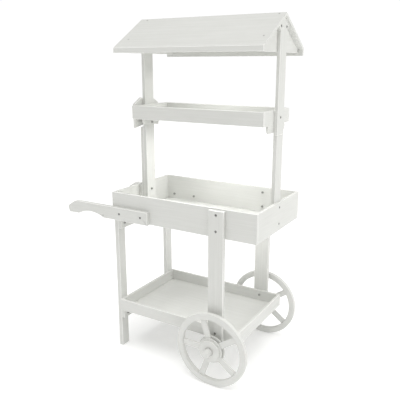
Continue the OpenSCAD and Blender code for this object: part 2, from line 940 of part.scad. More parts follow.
module axle_caps() {
    r = cap_d / 2;
    length = cap_end - cap_face;
    hole = axle_half - cap_face;
    hole_r = axle_d / 2 + seat_gap;
    color(paint) both_sides() difference() {
        translate([axle_x, -cap_face, axle_z]) rotate([90, 0, 0]) rotate_extrude($fn = 96) polygon([
            [hole_r, 0], [r, 0], [r, length - 2 * cap_chamfer], [r - cap_chamfer, length],
            [0, length], [0, hole], [hole_r, hole]
        ]);
        cap_pin_bore(seat_gap);
    }
}

module cap_pins() {
    color(paint) both_sides() translate([axle_x, -pin_y, axle_z - cap_d / 2 + 1])
        cylinder(h = cap_d - 2, d = pin_d);
}

// ---- Wheels ----

module rim() {
    difference() {
        axle_round(hub_outer_face, rim_t, wheel_d);
        axle_round(hub_outer_face + past, rim_t + 2 * past, wheel_d - 2 * rim_w);
    }
}

module spokes() {
    reach = wheel_r - rim_w;
    difference() {
        intersection() {
            axle_round(hub_front_face, spoke_t, 2 * reach);
            union() {
                axle_round(hub_front_face, spoke_t, hub_outer_d);
                for (k = [0 : 4]) translate([axle_x, -hub_front_face, axle_z])
                    rotate([0, -spoke_turn - 72 * k, 0])
                        translate([0, 0, -spoke_w / 2]) cube([reach + past, spoke_t, spoke_w]);
            }
        }
        axle_bore(hub_front_face + past, spoke_t + 2 * past, run_gap);
    }
}

// A hub disc whose outer face is at -y
module hub_disc(y, t, d) {
    difference() {
        axle_round(y, t, d);
        axle_bore(y + past, t + 2 * past, run_gap);
    }
}

module hub_outer() {
    difference() {
        hub_disc(hub_end, hub_outer_t, hub_outer_d);
        axle_round(hub_end + past, recess_t + past, cap_d + 2 * recess_gap);
    }
}

module front_wheel_rim() { color(paint) rim(); }
module front_wheel_spokes() { color(paint) spokes(); }
module front_hub_back_disc() { color(paint) hub_disc(spoke_face, hub_back_t, hub_back_d); }
module front_hub_front_disc() { color(paint) hub_disc(hub_outer_face, hub_back_t, hub_front_d); }
module front_hub_outer_disc() { color(paint) hub_outer(); }
module rear_wheel_rim() { color(paint) at_side(1) rim(); }
module rear_wheel_spokes() { color(paint) at_side(1) spokes(); }
module rear_hub_back_disc() { color(paint) at_side(1) hub_disc(spoke_face, hub_back_t, hub_back_d); }
module rear_hub_front_disc() {
    color(paint) at_side(1) hub_disc(hub_outer_face, hub_back_t, hub_front_d);
}
module rear_hub_outer_disc() { color(paint) at_side(1) hub_outer(); }

// ---- Fasteners in place ----

module handle_bolts() { color(steel) both_sides() handle_bolt_places() bolt(handle_grip); }

module wheel_leg_bolts() {
    color(steel) both_sides() {
        leg_tray_bolt_places() bolt(wheel_leg_grip);
        leg_shelf_bolt_place() bolt(wheel_leg_grip);
    }
}

module rail_bolts() { color(steel) both_sides() rail_bolt_places() bolt(rail_grip); }
module left_post_bolts() { color(steel) left_post_bolt_places() bolt(left_post_grip); }
module right_post_bolts() { color(steel) right_post_bolt_places() bolt(right_post_grip); }

module rack_bolts() {
    color(steel) crest_bolt_place() bolt(crest_grip);
    color(steel) left_rack_bolt_place() bolt(left_rack_grip);
    color(steel) rack_bolt_place() bolt(rack_grip);
}

module roof_bolts() {
    color(steel) left_roof_bolt_places() bolt(left_roof_grip);
    color(steel) right_roof_bolt_places() bolt(right_roof_grip);
}

module nuts() {
    color(steel) {
        both_sides() {
            handle_bolt_places() nut(handle_grip);
            leg_tray_bolt_places() nut(wheel_leg_grip);
            leg_shelf_bolt_place() nut(wheel_leg_grip);
            rail_bolt_places() nut(rail_grip);
        }
        left_post_bolt_places() nut(left_post_grip);
        right_post_bolt_places() nut(right_post_grip);
        crest_bolt_place() nut(crest_grip);
        left_rack_bolt_place() nut(left_rack_grip);
        rack_bolt_place() nut(rack_grip);
        left_roof_bolt_places() nut(left_roof_grip);
        right_roof_bolt_places() nut(right_roof_grip);
    }
}

module wood_screws() {
    color(steel) {
        both_sides() roof_screw_places() screw();
        floor_screw_places(tray_floor_screw_x, tray_z) screw();
        floor_screw_places(shelf_floor_screw_x, shelf_z) screw();
        shelf_screw_places() screw();
        bracket_screw_places() screw();
    }
}

module nails() {
    color(steel) both_sides() {
        tray_nails() nail();
        shelf_nails() nail();
        rack_nails() nail();
        fascia_nail_row() nail();
    }
}

tray_front_board();
tray_back_board();
tray_left_board();
tray_right_board();
tray_floor();
front_handle();
back_handle();
left_front_leg();
left_back_leg();
upper_rail();
lower_rail();
front_wheel_leg();
back_wheel_leg();
shelf_front_board();
shelf_back_board();
shelf_left_board();
shelf_right_board();
shelf_floor();
left_post();
left_post_doubler();
left_post_packing();
right_post_lower();
right_post_upper();
rack_front_board();
rack_back_board();
rack_left_end();
rack_right_end();
rack_floor();
rack_crest_plate();
rack_bracket();
roof_front_panel();
roof_back_panel();
roof_front_fascia();
roof_back_fascia();
left_gable();
right_gable();
axle();
axle_spacers();
axle_caps();
cap_pins();
front_wheel_rim();
front_wheel_spokes();
front_hub_back_disc();
front_hub_front_disc();
front_hub_outer_disc();
rear_wheel_rim();
rear_wheel_spokes();
rear_hub_back_disc();
rear_hub_front_disc();
rear_hub_outer_disc();
handle_bolts();
wheel_leg_bolts();
rail_bolts();
left_post_bolts();
right_post_bolts();
rack_bolts();
roof_bolts();
nuts();
wood_screws();
nails();
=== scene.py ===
"""Looks for the push vending cart.

Eased painted boards, spoked wheels, turned hubs, fasteners and a pale studio.
"""
import logging
import math
from dataclasses import dataclass, field
from enum import Enum
from typing import Dict, List, Optional, Sequence, Tuple

import bmesh
import bpy
import numpy as np
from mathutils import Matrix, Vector


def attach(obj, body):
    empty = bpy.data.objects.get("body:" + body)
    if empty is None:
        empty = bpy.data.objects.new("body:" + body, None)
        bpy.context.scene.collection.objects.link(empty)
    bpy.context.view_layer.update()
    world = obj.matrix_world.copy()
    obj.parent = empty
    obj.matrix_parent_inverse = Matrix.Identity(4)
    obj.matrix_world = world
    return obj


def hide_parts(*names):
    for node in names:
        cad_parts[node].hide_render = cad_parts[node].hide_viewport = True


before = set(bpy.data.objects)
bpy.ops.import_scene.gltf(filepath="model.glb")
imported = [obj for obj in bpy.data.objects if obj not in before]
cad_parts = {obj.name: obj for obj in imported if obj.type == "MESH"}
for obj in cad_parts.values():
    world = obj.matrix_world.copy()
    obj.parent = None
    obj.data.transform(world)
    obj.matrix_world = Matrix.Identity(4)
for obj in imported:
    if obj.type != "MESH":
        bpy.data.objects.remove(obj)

LOG = logging.getLogger("vending_cart")
Colour = Tuple[float, float, float]
Socket = bpy.types.NodeSocket

# The middle of the axle, in metres
AXLE_MIDDLE = (0.352, 0.0, 0.183)
# Corners of the frame's loose triangles that lie closer than this are one corner, in metres
MERGE_REACH = 2e-5
# Faces that turn less than this lie in one plane
FLAT_ANGLE = math.radians(0.8)
# Edges of a board that turn more than this are sharp
SHARP_ANGLE = math.radians(36)
# Edges of a carried surface that turn less than this are shaded smoothly
SMOOTH_ANGLE = math.radians(50)
# A wider family of sharp edges is a board's outline, and a narrower one is a hole's rim, in metres
OUTLINE_SPAN = 0.03
# The most of one side that the rounding of a corner takes
CORNER_SHARE = 0.48


class Along(Enum):
    """The direction in which a board's grain and the paint brush ran."""

    LENGTH = 0
    DEPTH = 1
    HEIGHT = 2


class Side(Enum):
    """Which end of the axle a turned piece sits on."""

    FRONT = -1
    BACK = 1


# ---- Shader groups ----


@dataclass(frozen=True)
class Pattern:
    """A noise: its scale, octaves and roughness, and the two values that are stretched to 0 and 1."""

    scale: float
    detail: float
    rough: float
    low: float = 0.0
    high: float = 1.0


WOOD_GRAIN = Pattern(1.0, 5.0, 0.62, 0.36, 0.66)
BRUSH_MARKS = Pattern(3.4, 2.0, 0.5, 0.3, 0.7)
UNEVEN_COAT = Pattern(4.5, 3.0, 0.55, 0.32, 0.68)
PAINT_PEEL = Pattern(900.0, 2.0, 0.5)
DUST_CLOUD = Pattern(9.0, 6.0, 0.65, 0.42, 0.78)
RUBBED_SPOTS = Pattern(55.0, 5.0, 0.6)
RUBBED_LENGTHS = Pattern(8.0, 2.0, 0.5)
# The products of the two rubbed patterns that become 0 and 1
RUBBED_RANGE = (0.25, 0.42)
# The upward parts of a face's normal where dust starts to settle and where it settles fully
DUST_SLOPE = (0.55, 1.0)
# The paint's roughness where the coat is even and where it is streaked
PAINT_ROUGHNESS = (0.38, 0.56)
# Octaves of the noise that makes a cutter's rings
RING_DETAIL = 3.0


class GroupBuilder:
    """Makes one shader node group, socket by socket."""

    def __init__(self, name: str) -> None:
        """Starts an empty group.

        Args:
            name: The group's name.
        """
        self.tree = bpy.data.node_groups.new(name, "ShaderNodeTree")
        self.enter = self.tree.nodes.new("NodeGroupInput")
        self.leave = self.tree.nodes.new("NodeGroupOutput")

    def socket_in(self, name: str, kind: str, value: object = None) -> None:
        """Adds an input socket.

        Args:
            name: The socket's name.
            kind: Float, Vector or Color.
            value: The value that it starts with.
        """
        made = self.tree.interface.new_socket(
            name=name, in_out="INPUT", socket_type=f"NodeSocket{kind}"
        )
        if value is not None:
            made.default_value = value

    def socket_out(self, name: str, kind: str) -> None:
        """Adds an output socket of that name and kind."""
        self.tree.interface.new_socket(name=name, in_out="OUTPUT", socket_type=f"NodeSocket{kind}")

    def node(self, kind: str, **settings: object) -> bpy.types.Node:
        """Adds a node and sets its properties.

        Args:
            kind: The node's type without its prefix.
            settings: Properties of the node.

        Returns:
            The new node.
        """
        return add_node(self.tree, kind, **settings)

    def join(self, source: Socket, target: Socket) -> None:
        """Links two sockets."""
        self.tree.links.new(source, target)


def add_node(tree: bpy.types.NodeTree, kind: str, **settings: object) -> bpy.types.Node:
    """Adds a shader node to a tree.

    Args:
        tree: The tree that gets the node.
        kind: The node's type without its prefix.
        settings: Properties of the node.

    Returns:
        The new node.
    """
    made = tree.nodes.new(f"ShaderNode{kind}")
    for key, value in settings.items():
        setattr(made, key, value)
    return made


def spread(build: GroupBuilder, source: Socket, low: float, high: float) -> Socket:
    """Stretches a noise value between low and high to 0..1.

    Args:
        build: The group that gets the node.
        source: The noise value.
        low: The value that becomes 0.
        high: The value that becomes 1.

    Returns:
        The stretched value.
    """
    ranged = build.node("MapRange")
    ranged.inputs["From Min"].default_value = low
    ranged.inputs["From Max"].default_value = high
    build.join(source, ranged.inputs["Value"])
    return ranged.outputs["Result"]


def arithmetic(
    build: GroupBuilder, operation: str, a: Socket, b: object
) -> Socket:
    """Adds a Math node.

    Args:
        build: The group that gets the node.
        operation: The Math node's operation.
        a: The first value.
        b: The second value, a number or a socket.

    Returns:
        The result.
    """
    made = build.node("Math", operation=operation)
    build.join(a, made.inputs[0])
    if isinstance(b, float):
        made.inputs[1].default_value = b
    else:
        build.join(b, made.inputs[1])
    return made.outputs[0]


def noise(build: GroupBuilder, vector: Socket, pattern: Pattern) -> Socket:
    """Adds a three-way noise and gives its value.

    Args:
        build: The group that gets the node.
        vector: Where the noise is read.
        pattern: Its scale, octaves and roughness.

    Returns:
        The noise value.
    """
    made = build.node("TexNoise")
    made.inputs["Scale"].default_value = pattern.scale
    made.inputs["Detail"].default_value = pattern.detail
    made.inputs["Roughness"].default_value = pattern.rough
    build.join(vector, made.inputs["Vector"])
    return made.outputs["Fac"]


def stretched_noise(build: GroupBuilder, vector: Socket, pattern: Pattern) -> Socket:
    """Adds a noise and stretches it between the pattern's low and high values."""
    return spread(build, noise(build, vector, pattern), pattern.low, pattern.high)


def weighted_sum(build: GroupBuilder, *parts: Tuple[Socket, float]) -> Socket:
    """Adds values, each multiplied by its weight.

    Args:
        build: The group that gets the nodes.
        parts: Each value with its weight.

    Returns:
        The sum.
    """
    scaled = [arithmetic(build, "MULTIPLY", value, weight) for value, weight in parts]
    total = scaled[0]
    for value in scaled[1:]:
        total = arithmetic(build, "ADD", total, value)
    return total


def mixed(build: GroupBuilder, factor: Socket, a: Socket, b: Socket) -> Socket:
    """Mixes two colours.

    Args:
        build: The group that gets the node.
        factor: The share of the second colour.
        a: The first colour.
        b: The second colour.

    Returns:
        The mixed colour.
    """
    made = build.node("Mix", data_type="RGBA")
    build.join(factor, made.inputs["Factor"])
    build.join(a, made.inputs["A"])
    build.join(b, made.inputs["B"])
    return made.outputs["Result"]


def painted_grain_group() -> bpy.types.NodeTree:
    """Paint over wood grain.

    Long streaks come from a noise read on coordinates squeezed along the board, the brush's own marks from a
    finer one, and slow unevenness of the coat from a third that reads the coordinates unsqueezed.

    Returns:
        The group, with Color, Height and Roughness.
    """
    build = GroupBuilder("painted_grain")
    build.socket_in("Along", "Vector")
    build.socket_in("Place", "Vector")
    build.socket_in("Tone", "Color", (0.8, 0.8, 0.78, 1.0))
    build.socket_in("Shade", "Color", (0.7, 0.7, 0.68, 1.0))
    build.socket_in("Streaks", "Float", 0.5)
    for name, kind in (("Color", "Color"), ("Height", "Float"), ("Roughness", "Float")):
        build.socket_out(name, kind)
    along, place = build.enter.outputs["Along"], build.enter.outputs["Place"]
    grain = stretched_noise(build, along, WOOD_GRAIN)
    brush = stretched_noise(build, along, BRUSH_MARKS)
    coat = stretched_noise(build, place, UNEVEN_COAT)
    both = weighted_sum(build, (grain, 0.62), (coat, 0.38))
    factor = arithmetic(build, "MULTIPLY", both, build.enter.outputs["Streaks"])
    colour = mixed(build, factor, build.enter.outputs["Tone"], build.enter.outputs["Shade"])
    build.join(colour, build.leave.inputs["Color"])
    peel = noise(build, place, PAINT_PEEL)
    relief = weighted_sum(build, (grain, 0.55), (brush, 0.3), (peel, 0.15))
    build.join(relief, build.leave.inputs["Height"])
    gloss = build.node("MapRange")
    gloss.inputs["To Min"].default_value, gloss.inputs["To Max"].default_value = PAINT_ROUGHNESS
    build.join(both, gloss.inputs["Value"])
    build.join(gloss.outputs["Result"], build.leave.inputs["Roughness"])
    return build.tree


def lathe_group() -> bpy.types.NodeTree:
    """Rings that a cutter leaves round an axle: a noise of the distance from the axle only.

    Returns:
        The group, with Height.
    """
    build = GroupBuilder("cutter_rings")
    build.socket_in("Centred", "Vector")
    build.socket_in("Rings", "Float", 500.0)
    build.socket_out("Height", "Float")
    split = build.node("SeparateXYZ")
    build.join(build.enter.outputs["Centred"], split.inputs[0])
    square_x = arithmetic(build, "MULTIPLY", split.outputs["X"], split.outputs["X"])
    square_z = arithmetic(build, "MULTIPLY", split.outputs["Z"], split.outputs["Z"])
    radius = arithmetic(build, "SQRT", arithmetic(build, "ADD", square_x, square_z), 0.0)
    rings = build.node("TexNoise", noise_dimensions="1D")
    rings.inputs["Scale"].default_value = 1.0
    rings.inputs["Detail"].default_value = RING_DETAIL
    build.join(arithmetic(build, "MULTIPLY", radius, build.enter.outputs["Rings"]), rings.inputs["W"])
    build.join(rings.outputs["Fac"], build.leave.inputs["Height"])
    return build.tree


def dust_group() -> bpy.types.NodeTree:
    """Dust that settles on faces that look up: the upward part of the normal times a slow noise.

    Returns:
        The group, with Mask.
    """
    build = GroupBuilder("settled_dust")
    build.socket_in("Place", "Vector")
    build.socket_in("Amount", "Float", 0.2)
    build.socket_out("Mask", "Float")
    facing = build.node("NewGeometry")
    split = build.node("SeparateXYZ")
    build.join(facing.outputs["Normal"], split.inputs[0])
    upward = spread(build, split.outputs["Z"], *DUST_SLOPE)
    cloud = stretched_noise(build, build.enter.outputs["Place"], DUST_CLOUD)
    settled = arithmetic(build, "MULTIPLY", upward, cloud)
    mask = arithmetic(build, "MULTIPLY", settled, build.enter.outputs["Amount"])
    build.join(mask, build.leave.inputs["Mask"])
    return build.tree


def wear_group() -> bpy.types.NodeTree:
    """Rubbed spots along an edge: a fine noise times a slow one, stretched, times Amount.

    Returns:
        The group, with Mask.
    """
    build = GroupBuilder("rubbed_edge")
    build.socket_in("Place", "Vector")
    build.socket_in("Amount", "Float", 0.3)
    build.socket_out("Mask", "Float")
    spots = noise(build, build.enter.outputs["Place"], RUBBED_SPOTS)
    lengths = noise(build, build.enter.outputs["Place"], RUBBED_LENGTHS)
    rubbed = spread(build, arithmetic(build, "MULTIPLY", spots, lengths), *RUBBED_RANGE)
    mask = arithmetic(build, "MULTIPLY", rubbed, build.enter.outputs["Amount"])
    build.join(mask, build.leave.inputs["Mask"])
    return build.tree


@dataclass
class GroupShelf:
    """The shader groups, each built once and kept."""

    made: Dict[str, bpy.types.NodeTree] = field(default_factory=dict)

    def use(self, tree: bpy.types.NodeTree, name: str, **values: object) -> bpy.types.Node:
        """Places a group in a material.

        Args:
            tree: The material's tree.
            name: grain, rings, dust or wear.
            values: Values for the group's inputs.

        Returns:
            The group node.
        """
        makers = {
            "grain": painted_grain_group,
            "rings": lathe_group,
            "dust": dust_group,
            "wear": wear_group,
        }
        if name not in self.made:
            self.made[name] = makers[name]()
        placed = add_node(tree, "Group", node_tree=self.made[name])
        for key, value in values.items():
            placed.inputs[key].default_value = value
        return placed


GROUPS = GroupShelf()


# ---- Finishes ----


@dataclass(frozen=True)
class Paint:
    """White satin paint on wood.

    tone and shade are the two colours that the streaks run between, squeeze is how often the grain
    repeats per metre along and across a board, and relief is the bump's depth in metres. An eased edge
    gets a painted highlight: its colours are edge_highlight_lift lighter, up to highlight_ceiling. It keeps
    the share edge_streaks of the streaks, and shows worn_tone where it is rubbed, which is real wear.
    rings is how often a cutter's rings repeat per metre.
    """

    name: str
    tone: Colour = (0.715, 0.718, 0.695)
    shade: Colour = (0.64, 0.645, 0.615)
    streaks: float = 0.5
    squeeze: Tuple[float, float] = (5.0, 210.0)
    relief: float = 0.0006
    bump: float = 0.55
    specular: float = 0.42
    dust: float = 0.2
    dust_tone: Colour = (0.60, 0.60, 0.57)
    edge_highlight_lift: float = 1.3
    edge_streaks: float = 0.4
    highlight_ceiling: float = 0.92
    wear: float = 0.35
    worn_tone: Colour = (0.66, 0.63, 0.56)
    rings: float = 420.0

    def scale(self, along: Along) -> Tuple[float, float, float]:
        """The squeeze on each axis for grain that runs along."""
        length, across = self.squeeze
        return tuple(length if axis == along.value else across for axis in range(3))

    def material(
        self, along: Along, edge: bool = False, centre: Optional[Vector] = None
    ) -> bpy.types.Material:
        """Makes or finds the material.

        Args:
            along: The direction of the grain.
            edge: True for the eased edges, which get a painted highlight and show real rubbed wear.
            centre: The middle of a wheel, for turned pieces with a cutter's rings.

        Returns:
            The material.
        """
        label = f"{self.name}_{along.name.lower()}{'_edge' if edge else ''}"
        if centre is not None:
            label += "_turned"
        if label in bpy.data.materials:
            return bpy.data.materials[label]
        made = bpy.data.materials.new(label)
        made.use_nodes = True
        tree = made.node_tree
        join = tree.links.new
        shader = tree.nodes["Principled BSDF"]
        shader.inputs["Specular IOR Level"].default_value = self.specular
        coords = add_node(tree, "TexCoord")
        squeeze = add_node(tree, "Mapping")
        squeeze.inputs["Scale"].default_value = self.scale(along)
        join(coords.outputs["Object"], squeeze.inputs["Vector"])
        # Painted highlight: on eased edges both colours are lifted lighter, the tone up to a ceiling
        highlight_lift = self.edge_highlight_lift if edge else 1.0
        grain = GROUPS.use(
            tree,
            "grain",
            Tone=(*(min(self.highlight_ceiling, c * highlight_lift) for c in self.tone), 1.0),
            Shade=(*(c * highlight_lift for c in self.shade), 1.0),
            Streaks=self.streaks * (self.edge_streaks if edge else 1.0),
        )
        join(squeeze.outputs["Vector"], grain.inputs["Along"])
        join(coords.outputs["Object"], grain.inputs["Place"])
        dust = GROUPS.use(tree, "dust", Amount=self.dust)
        join(coords.outputs["Object"], dust.inputs["Place"])
        dusted = add_node(tree, "Mix", data_type="RGBA")
        dusted.inputs["B"].default_value = (*self.dust_tone, 1.0)
        join(dust.outputs["Mask"], dusted.inputs["Factor"])
        join(grain.outputs["Color"], dusted.inputs["A"])
        colour = dusted.outputs["Result"]
        if edge:
            wear = GROUPS.use(tree, "wear", Amount=self.wear)
            join(coords.outputs["Object"], wear.inputs["Place"])
            rubbed = add_node(tree, "Mix", data_type="RGBA")
            rubbed.inputs["B"].default_value = (*self.worn_tone, 1.0)
            join(wear.outputs["Mask"], rubbed.inputs["Factor"])
            join(colour, rubbed.inputs["A"])
            colour = rubbed.outputs["Result"]
        join(colour, shader.inputs["Base Color"])
        join(grain.outputs["Roughness"], shader.inputs["Roughness"])
        bump = add_node(tree, "Bump")
        bump.inputs["Strength"].default_value = self.bump
        bump.inputs["Distance"].default_value = self.relief
        height = grain.outputs["Height"]
        if centre is not None:
            middle = add_node(tree, "Mapping")
            middle.inputs["Location"].default_value = -centre
            join(coords.outputs["Object"], middle.inputs["Vector"])
            rings = GROUPS.use(tree, "rings", Rings=self.rings)
            join(middle.outputs["Vector"], rings.inputs["Centred"])
            height = rings.outputs["Height"]
        join(height, bump.inputs["Height"])
        join(bump.outputs["Normal"], shader.inputs["Normal"])
        return made


@dataclass(frozen=True)
class Steel:
    """Bare or blackened steel of a fastener, with a cloudy surface.

    The cloud's values from ramp run between tone and worn, and its whole range runs over roughness.
    """

    name: str
    tone: Colour = (0.045, 0.045, 0.042)
    worn: Colour = (0.13, 0.13, 0.12)
    metallic: float = 0.85
    cloud: float = 420.0
    cloud_detail: float = 5.0
    ramp: Tuple[float, float] = (0.42, 0.72)
    roughness: Tuple[float, float] = (0.32, 0.6)
    bump: float = 0.3
    relief: float = 0.0002

    def material(self) -> bpy.types.Material:
        """Makes or finds the material.

        Returns:
            The material.
        """
        if self.name in bpy.data.materials:
            return bpy.data.materials[self.name]
        made = bpy.data.materials.new(self.name)
        made.use_nodes = True
        tree = made.node_tree
        join = tree.links.new
        shader = tree.nodes["Principled BSDF"]
        shader.inputs["Metallic"].default_value = self.metallic
        coords = add_node(tree, "TexCoord")
        cloud = add_node(tree, "TexNoise")
        cloud.inputs["Scale"].default_value = self.cloud
        cloud.inputs["Detail"].default_value = self.cloud_detail
        join(coords.outputs["Object"], cloud.inputs["Vector"])
        ramp = add_node(tree, "ValToRGB")
        for stop, tone, place in zip(ramp.color_ramp.elements, (self.tone, self.worn), self.ramp):
            stop.color, stop.position = (*tone, 1.0), place
        join(cloud.outputs["Fac"], ramp.inputs["Fac"])
        join(ramp.outputs["Color"], shader.inputs["Base Color"])
        gloss = add_node(tree, "MapRange")
        gloss.inputs["To Min"].default_value, gloss.inputs["To Max"].default_value = self.roughness
        join(cloud.outputs["Fac"], gloss.inputs["Value"])
        join(gloss.outputs["Result"], shader.inputs["Roughness"])
        bump = add_node(tree, "Bump")
        bump.inputs["Strength"].default_value = self.bump
        bump.inputs["Distance"].default_value = self.relief
        join(cloud.outputs["Fac"], bump.inputs["Height"])
        join(bump.outputs["Normal"], shader.inputs["Normal"])
        return made


BOARD_PAINT = Paint("board_paint", streaks=0.7)
TIMBER_PAINT = Paint("timber_paint", streaks=0.85, squeeze=(3.2, 210.0), relief=0.0008)
PANEL_PAINT = Paint("panel_paint", streaks=0.75, squeeze=(2.6, 120.0))
WHEEL_PAINT = Paint("wheel_paint", streaks=0.42, squeeze=(14.0, 120.0), relief=0.0004)
DOWEL_PAINT = Paint("dowel_paint", streaks=0.4, relief=0.0003)


# ---- Surfaces ----


def rounded_loop(corners: Sequence[Tuple[float, float]], ease: float, steps: int = 5) -> np.ndarray:
    """Rounds the corners of a closed outline.

    Each corner c gives way to the curve (1-t)^2 a + 2t(1-t) c + t^2 b, where a and b lie on the two sides at
    the distance ease from c, and t runs from 0 to 1.

    Args:
        corners: The outline's corners in order, in metres.
        ease: How far the rounding reaches along each side.
        steps: Points on each rounded corner.

    Returns:
        The points, one row each.
    """
    c = np.asarray(corners, float)
    before, after = np.roll(c, 1, axis=0) - c, np.roll(c, -1, axis=0) - c
    reach_a = np.minimum(ease, np.linalg.norm(before, axis=1) * CORNER_SHARE)[:, None]
    reach_b = np.minimum(ease, np.linalg.norm(after, axis=1) * CORNER_SHARE)[:, None]
    a = c + before / np.linalg.norm(before, axis=1)[:, None] * reach_a
    b = c + after / np.linalg.norm(after, axis=1)[:, None] * reach_b
    t = np.linspace(0.0, 1.0, steps)[None, :, None]
    curve = (1 - t) ** 2 * a[:, None] + 2 * t * (1 - t) * c[:, None] + t**2 * b[:, None]
    return curve.reshape(-1, 2)


def full_turn(steps: int) -> np.ndarray:
    """Even angles round a full turn, in radians, without the last one that closes it."""
    return np.linspace(0.0, 2 * math.pi, steps + 1)[:-1]


def ring_surface(
    loop: np.ndarray, centre: Vector, side: Side, angles: np.ndarray, pinch: Optional[np.ndarray] = None
) -> Tuple[np.ndarray, np.ndarray]:
    """Carries a closed outline round the axle.

    A loop point (r, s) at the angle q lies at (cx + r cos q, side * s, cz + r sin q). Where pinch is given,
    the section at that angle is first drawn in towards its own middle by that share.

    Args:
        loop: The outline, one row (radius, distance from the middle plane) each.
        centre: The middle of the wheel.
        side: The end of the axle.
        angles: The angles, in radians, in order, without the last one that closes the ring.
        pinch: The share by which each section is drawn in.

    Returns:
        The vertices and the four-sided faces.
    """
    middle = (loop.max(0) + loop.min(0)) / 2
    share = np.ones_like(angles) if pinch is None else 1.0 - pinch
    section = middle + (loop - middle)[None] * share[:, None, None]
    radius, along = section[..., 0], section[..., 1]
    points = np.stack(
        [
            centre.x + radius * np.cos(angles)[:, None],
            side.value * along,
            centre.z + radius * np.sin(angles)[:, None],
        ],
        axis=-1,
    )
    turns, count = radius.shape
    i, j = np.meshgrid(np.arange(turns), np.arange(count), indexing="ij")
    ahead, beside = (i + 1) % turns, (j + 1) % count
    here, there = i * count, ahead * count
    faces = np.stack([here + j, there + j, there + beside, here + beside], axis=-1)
    return points.reshape(-1, 3), faces.reshape(-1, 4)


def piece_from(name: str, surfaces: Sequence[Tuple[np.ndarray, np.ndarray]]) -> bpy.types.Object:
    """Makes one object from closed surfaces.

    Args:
        name: The piece's name.
        surfaces: Vertices and faces of each surface.

    Returns:
        The object, with its faces outward and smooth.
    """
    offsets = np.cumsum([0] + [len(points) for points, _ in surfaces[:-1]])
    points = np.concatenate([points for points, _ in surfaces])
    faces = np.concatenate([faces + start for (_, faces), start in zip(surfaces, offsets)])
    mesh = bpy.data.meshes.new(name)
    poles = faces[:, 2] == faces[:, 3]
    mesh.from_pydata(points.tolist(), [], faces[~poles].tolist() + faces[poles, :3].tolist())
    shape = bmesh.new()
    shape.from_mesh(mesh)
    bmesh.ops.recalc_face_normals(shape, faces=shape.faces)
    for edge in shape.edges:
        edge.smooth = edge.calc_face_angle(0.0) < SMOOTH_ANGLE
    shape.to_mesh(mesh)
    shape.free()
    mesh.polygons.foreach_set("use_smooth", np.ones(len(mesh.polygons), bool))
    made = bpy.data.objects.new(name, mesh)
    bpy.context.scene.collection.objects.link(made)
    return made


def sharp_families(shape: bmesh.types.BMesh, angle: float) -> List[List[bmesh.types.BMEdge]]:
    """Sorts the sharp edges of a shape into families that hang together.

    Args:
        shape: The shape.
        angle: Edges that turn more than this, in radians, are sharp.

    Returns:
        The families. A hole's rim is a family of its own, and the outer edges are one large family.
    """
    left = {
        edge for edge in shape.edges if not edge.is_manifold or edge.calc_face_angle(0.0) > angle
    }
    families = []
    while left:
        family, front = [], [left.pop()]
        while front:
            edge = front.pop()
            family.append(edge)
            near = {other for corner in edge.verts for other in corner.link_edges} & left
            left -= near
            front.extend(near)
        families.append(family)
    return families


def family_span(family: Sequence[bmesh.types.BMEdge]) -> float:
    """The largest side of the box round a family of edges."""
    points = np.array([corner.co for edge in family for corner in edge.verts])
    return float((points.max(0) - points.min(0)).max())


def eased_copy(node: str, ease: float, segments: int = 3) -> bpy.types.Object:
    """Copies a frame node's shape and eases its outer edges as sandpaper and paint would.

    Holes keep crisp rims: only a family of edges wider than OUTLINE_SPAN is eased.

    Args:
        node: The frame node.
        ease: The width of the eased edge, in metres.
        segments: Steps across the edge.

    Returns:
        The new object, with a Bevel modifier whose faces use the second material, and even normals.
    """
    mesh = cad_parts[node].data.copy()
    mesh.name = f"{node}_eased"
    shape = bmesh.new()
    shape.from_mesh(mesh)
    bmesh.ops.remove_doubles(shape, verts=shape.verts, dist=MERGE_REACH)
    bmesh.ops.dissolve_limit(
        shape, angle_limit=FLAT_ANGLE, verts=shape.verts, edges=shape.edges
    )
    weight = shape.edges.layers.float.new("bevel_weight_edge")
    for family in sharp_families(shape, SHARP_ANGLE):
        wide = family_span(family) > OUTLINE_SPAN
        for edge in family:
            edge[weight] = 1.0 if wide else 0.0
            edge.smooth = False
    shape.to_mesh(mesh)
    shape.free()
    mesh.materials.clear()
    mesh.polygons.foreach_set("use_smooth", np.ones(len(mesh.polygons), bool))
    made = bpy.data.objects.new(f"{node}_eased", mesh)
    bpy.context.scene.collection.objects.link(made)
    bevel = made.modifiers.new("eased_edges", "BEVEL")
    bevel.width = ease
    bevel.segments = segments
    bevel.limit_method = "WEIGHT"
    bevel.use_clamp_overlap = True
    # The eased faces take the second material, which has a painted highlight and rubbed wear
    bevel.material = 1
    even = made.modifiers.new("even_normals", "WEIGHTED_NORMAL")
    even.keep_sharp = True
    even.weight = 100
    return made


# ---- Sub-assemblies ----


@dataclass
class Board:
    """One wooden piece: its frame node, its grain's direction, its slot and the ease of its edges."""

    node: str
    along: Along
    slot: str
    ease: float = 0.0012
    paint: Paint = BOARD_PAINT

    def build(self, body: str) -> bpy.types.Object:
        """Makes the piece, dresses it and puts it on its body.

        Args:
            body: The body that it rides on.

        Returns:
            The piece.
        """
        made = eased_copy(self.node, self.ease)
        made.data.materials.append(self.paint.material(self.along))
        # The second material, on the eased edges, has a painted highlight and rubbed wear
        made.data.materials.append(self.paint.material(self.along, edge=True))
        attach(made, body)
        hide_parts(self.node)
        LOG.info("piece %s rides on %s", made.name, body)
        return made


@dataclass
class Joinery:
    """A sub-assembly that is made of boards."""

    name: str
    boards: List[Board]
    body: str = "cart"

    def build(self) -> List[bpy.types.Object]:
        """Makes every board of the sub-assembly."""
        LOG.info("building %s", self.name)
        return [board.build(self.body) for board in self.boards]


